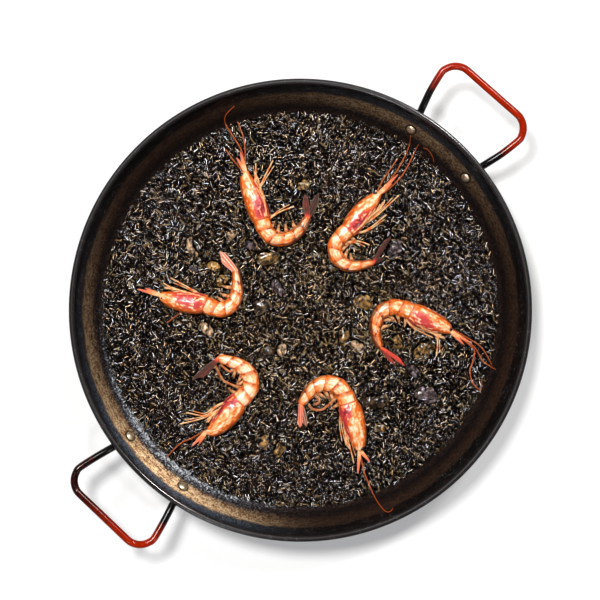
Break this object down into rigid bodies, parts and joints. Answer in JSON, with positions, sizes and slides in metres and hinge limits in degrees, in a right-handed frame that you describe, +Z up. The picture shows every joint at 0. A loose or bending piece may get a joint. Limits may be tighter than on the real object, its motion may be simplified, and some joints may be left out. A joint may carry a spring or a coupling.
{
  "type": "pan of squid ink rice",
  "caption": "Wide shallow two-handled pan of black squid ink rice with whole curled prawns and small chunks of cuttlefish on top.",
  "frame": {"origin": "centre of the pan's flat underside", "axes": "+Z up, +X from the pan's centre towards handle_a"},
  "size_m": [0.5782, 0.4596, 0.0535],
  "materials": {
    "enamelled_steel": "dark speckled enamel, browned on the inside of the wall by cooking",
    "red_enamel": "red paint, scorched to black near the rim",
    "rivet_metal": "satin",
    "ink_rice": "moist black rice grains with small highlights",
    "prawn_shell": "cooked shell, orange with cream bands and red patches",
    "cuttlefish_pale": "moist, pale and ink stained",
    "cuttlefish_tan": "moist, tan and ink stained",
    "cuttlefish_ochre": "moist, ochre and ink stained",
    "cuttlefish_purple": "moist, purple grey skin",
    "cuttlefish_dark": "moist, dark brown with ink"
  },
  "bodies": {
    "root": {"pan": "enamelled_steel", "handle_a": "red_enamel", "handle_b": "red_enamel", "rivet_1": "rivet_metal", "rivet_2": "rivet_metal", "rivet_3": "rivet_metal", "rivet_4": "rivet_metal", "rice": "ink_rice", "prawn_1": "prawn_shell", "prawn_2": "prawn_shell", "prawn_3": "prawn_shell", "prawn_4": "prawn_shell", "prawn_5": "prawn_shell", "prawn_6": "prawn_shell", "loose_feeler": "prawn_shell", "cuttlefish_01": "cuttlefish_pale", "cuttlefish_02": "cuttlefish_tan", "cuttlefish_03": "cuttlefish_purple", "cuttlefish_04": "cuttlefish_tan", "cuttlefish_05": "cuttlefish_pale", "cuttlefish_06": "cuttlefish_purple", "cuttlefish_07": "cuttlefish_ochre", "cuttlefish_08": "cuttlefish_dark", "cuttlefish_09": "cuttlefish_purple", "cuttlefish_10": "cuttlefish_ochre", "cuttlefish_11": "cuttlefish_purple", "cuttlefish_12": "cuttlefish_tan", "cuttlefish_13": "cuttlefish_ochre", "cuttlefish_14": "cuttlefish_pale", "cuttlefish_15": "cuttlefish_ochre", "cuttlefish_16": "cuttlefish_ochre", "cuttlefish_17": "cuttlefish_purple", "cuttlefish_18": "cuttlefish_purple", "cuttlefish_19": "cuttlefish_dark", "cuttlefish_20": "cuttlefish_ochre", "cuttlefish_21": "cuttlefish_dark", "cuttlefish_22": "cuttlefish_pale", "cuttlefish_23": "cuttlefish_pale", "cuttlefish_24": "cuttlefish_ochre", "cuttlefish_25": "cuttlefish_tan"}
  },
  "joints": []
}
